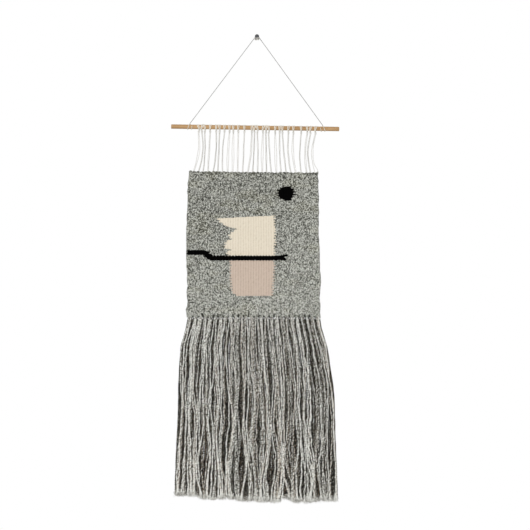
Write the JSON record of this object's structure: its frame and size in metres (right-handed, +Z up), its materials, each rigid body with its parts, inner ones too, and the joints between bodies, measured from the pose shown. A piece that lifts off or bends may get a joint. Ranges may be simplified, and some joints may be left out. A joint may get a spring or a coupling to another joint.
{
  "type": "tapestry wall hanging",
  "caption": "Woven wool tapestry panel with a long knotted fringe, hung by cotton warp loops from a wooden dowel on a cord over a wall nail.",
  "frame": {"origin": "on the nail's axis, where the nail enters the wall", "axes": "+Z up along the hanging, +X to the right as the viewer sees it, +Y into the wall along the nail, -Y towards the room"},
  "size_m": [0.305, 0.0423, 0.8449],
  "materials": {
    "nail_steel": "satin wire nail",
    "dowel_wood": "bare sanded wood",
    "cord_cotton": "fine plied cotton cord",
    "warp_cotton": "plied cotton warp",
    "grey_wool": "marled grey wool, weft-faced",
    "cream_wool": "cream wool, weft-faced",
    "pink_wool": "dusty pink wool, weft-faced",
    "black_wool": "black wool",
    "fringe_wool": "marled grey two-ply wool yarn"
  },
  "bodies": {
    "nail": {"wall_nail": "nail_steel"},
    "hanger": {"dowel": "dowel_wood", "hanging_cord": "cord_cotton"},
    "panel": {"ground_weave": "grey_wool", "cream_block": "cream_wool", "pink_block": "pink_wool", "black_dot": "black_wool", "black_line": "black_wool", "warp_loop_01": "warp_cotton", "warp_loop_02": "warp_cotton", "warp_loop_03": "warp_cotton", "warp_loop_04": "warp_cotton", "warp_loop_05": "warp_cotton", "warp_loop_06": "warp_cotton", "warp_loop_07": "warp_cotton", "warp_loop_08": "warp_cotton", "warp_loop_09": "warp_cotton", "warp_loop_10": "warp_cotton", "warp_loop_11": "warp_cotton", "warp_loop_12": "warp_cotton", "warp_loop_13": "warp_cotton", "warp_loop_14": "warp_cotton", "warp_loop_15": "warp_cotton", "warp_loop_16": "warp_cotton", "warp_loop_17": "warp_cotton", "warp_loop_18": "warp_cotton", "warp_loop_19": "warp_cotton", "warp_loop_20": "warp_cotton", "warp_loop_21": "warp_cotton", "warp_loop_22": "warp_cotton", "warp_loop_23": "warp_cotton", "warp_loop_24": "warp_cotton", "warp_loop_25": "warp_cotton", "warp_loop_26": "warp_cotton"},
    "tassel_01": {"tassel_01": "fringe_wool"},
    "tassel_02": {"tassel_02": "fringe_wool"},
    "tassel_03": {"tassel_03": "fringe_wool"},
    "tassel_04": {"tassel_04": "fringe_wool"},
    "tassel_05": {"tassel_05": "fringe_wool"},
    "tassel_06": {"tassel_06": "fringe_wool"},
    "tassel_07": {"tassel_07": "fringe_wool"},
    "tassel_08": {"tassel_08": "fringe_wool"},
    "tassel_09": {"tassel_09": "fringe_wool"},
    "tassel_10": {"tassel_10": "fringe_wool"},
    "tassel_11": {"tassel_11": "fringe_wool"},
    "tassel_12": {"tassel_12": "fringe_wool"},
    "tassel_13": {"tassel_13": "fringe_wool"},
    "tassel_14": {"tassel_14": "fringe_wool"},
    "tassel_15": {"tassel_15": "fringe_wool"},
    "tassel_16": {"tassel_16": "fringe_wool"},
    "tassel_17": {"tassel_17": "fringe_wool"},
    "tassel_18": {"tassel_18": "fringe_wool"},
    "tassel_19": {"tassel_19": "fringe_wool"},
    "tassel_20": {"tassel_20": "fringe_wool"},
    "tassel_21": {"tassel_21": "fringe_wool"},
    "tassel_22": {"tassel_22": "fringe_wool"},
    "tassel_23": {"tassel_23": "fringe_wool"},
    "tassel_24": {"tassel_24": "fringe_wool"},
    "tassel_25": {"tassel_25": "fringe_wool"},
    "tassel_26": {"tassel_26": "fringe_wool"}
  },
  "joints": [
    {"name": "sway", "type": "hinge", "parent": "nail", "child": "hanger", "pos_m": [0, 0, 0], "axis": [0, 1, 0], "range_deg": [-15, 15]},
    {"name": "panel_swing", "type": "hinge", "parent": "hanger", "child": "panel", "pos_m": [-0.0033, -0.0075, -0.1651], "axis": [-0.9999, 0, 0.0148], "range_deg": [0, 80]},
    {"name": "tassel_01_swing", "type": "hinge", "parent": "panel", "child": "tassel_01", "pos_m": [0, -0.0075, -0.5135], "axis": [-1, 0, 0], "range_deg": [0, 80]},
    {"name": "tassel_02_swing", "type": "hinge", "parent": "panel", "child": "tassel_02", "pos_m": [0, -0.0075, -0.5135], "axis": [-1, 0, 0], "range_deg": [0, 80]},
    {"name": "tassel_03_swing", "type": "hinge", "parent": "panel", "child": "tassel_03", "pos_m": [0, -0.0075, -0.5135], "axis": [-1, 0, 0], "range_deg": [0, 80]},
    {"name": "tassel_04_swing", "type": "hinge", "parent": "panel", "child": "tassel_04", "pos_m": [0, -0.0075, -0.5135], "axis": [-1, 0, 0], "range_deg": [0, 80]},
    {"name": "tassel_05_swing", "type": "hinge", "parent": "panel", "child": "tassel_05", "pos_m": [0, -0.0075, -0.5135], "axis": [-1, 0, 0], "range_deg": [0, 80]},
    {"name": "tassel_06_swing", "type": "hinge", "parent": "panel", "child": "tassel_06", "pos_m": [0, -0.0075, -0.5135], "axis": [-1, 0, 0], "range_deg": [0, 80]},
    {"name": "tassel_07_swing", "type": "hinge", "parent": "panel", "child": "tassel_07", "pos_m": [0, -0.0075, -0.5135], "axis": [-1, 0, 0], "range_deg": [0, 80]},
    {"name": "tassel_08_swing", "type": "hinge", "parent": "panel", "child": "tassel_08", "pos_m": [0, -0.0075, -0.5135], "axis": [-1, 0, 0], "range_deg": [0, 80]},
    {"name": "tassel_09_swing", "type": "hinge", "parent": "panel", "child": "tassel_09", "pos_m": [0, -0.0075, -0.5135], "axis": [-1, 0, 0], "range_deg": [0, 80]},
    {"name": "tassel_10_swing", "type": "hinge", "parent": "panel", "child": "tassel_10", "pos_m": [0, -0.0075, -0.5135], "axis": [-1, 0, 0], "range_deg": [0, 80]},
    {"name": "tassel_11_swing", "type": "hinge", "parent": "panel", "child": "tassel_11", "pos_m": [0, -0.0075, -0.5135], "axis": [-1, 0, 0], "range_deg": [0, 80]},
    {"name": "tassel_12_swing", "type": "hinge", "parent": "panel", "child": "tassel_12", "pos_m": [0, -0.0075, -0.5135], "axis": [-1, 0, 0], "range_deg": [0, 80]},
    {"name": "tassel_13_swing", "type": "hinge", "parent": "panel", "child": "tassel_13", "pos_m": [0, -0.0075, -0.5135], "axis": [-1, 0, 0], "range_deg": [0, 80]},
    {"name": "tassel_14_swing", "type": "hinge", "parent": "panel", "child": "tassel_14", "pos_m": [0, -0.0075, -0.5135], "axis": [-1, 0, 0], "range_deg": [0, 80]},
    {"name": "tassel_15_swing", "type": "hinge", "parent": "panel", "child": "tassel_15", "pos_m": [0, -0.0075, -0.5135], "axis": [-1, 0, 0], "range_deg": [0, 80]},
    {"name": "tassel_16_swing", "type": "hinge", "parent": "panel", "child": "tassel_16", "pos_m": [0, -0.0075, -0.5135], "axis": [-1, 0, 0], "range_deg": [0, 80]},
    {"name": "tassel_17_swing", "type": "hinge", "parent": "panel", "child": "tassel_17", "pos_m": [0, -0.0075, -0.5135], "axis": [-1, 0, 0], "range_deg": [0, 80]},
    {"name": "tassel_18_swing", "type": "hinge", "parent": "panel", "child": "tassel_18", "pos_m": [0, -0.0075, -0.5135], "axis": [-1, 0, 0], "range_deg": [0, 80]},
    {"name": "tassel_19_swing", "type": "hinge", "parent": "panel", "child": "tassel_19", "pos_m": [0, -0.0075, -0.5135], "axis": [-1, 0, 0], "range_deg": [0, 80]},
    {"name": "tassel_20_swing", "type": "hinge", "parent": "panel", "child": "tassel_20", "pos_m": [0, -0.0075, -0.5135], "axis": [-1, 0, 0], "range_deg": [0, 80]},
    {"name": "tassel_21_swing", "type": "hinge", "parent": "panel", "child": "tassel_21", "pos_m": [0, -0.0075, -0.5135], "axis": [-1, 0, 0], "range_deg": [0, 80]},
    {"name": "tassel_22_swing", "type": "hinge", "parent": "panel", "child": "tassel_22", "pos_m": [0, -0.0075, -0.5135], "axis": [-1, 0, 0], "range_deg": [0, 80]},
    {"name": "tassel_23_swing", "type": "hinge", "parent": "panel", "child": "tassel_23", "pos_m": [0, -0.0075, -0.5135], "axis": [-1, 0, 0], "range_deg": [0, 80]},
    {"name": "tassel_24_swing", "type": "hinge", "parent": "panel", "child": "tassel_24", "pos_m": [0, -0.0075, -0.5135], "axis": [-1, 0, 0], "range_deg": [0, 80]},
    {"name": "tassel_25_swing", "type": "hinge", "parent": "panel", "child": "tassel_25", "pos_m": [0, -0.0075, -0.5135], "axis": [-1, 0, 0], "range_deg": [0, 80]},
    {"name": "tassel_26_swing", "type": "hinge", "parent": "panel", "child": "tassel_26", "pos_m": [0, -0.0075, -0.5135], "axis": [-1, 0, 0], "range_deg": [0, 80]}
  ]
}
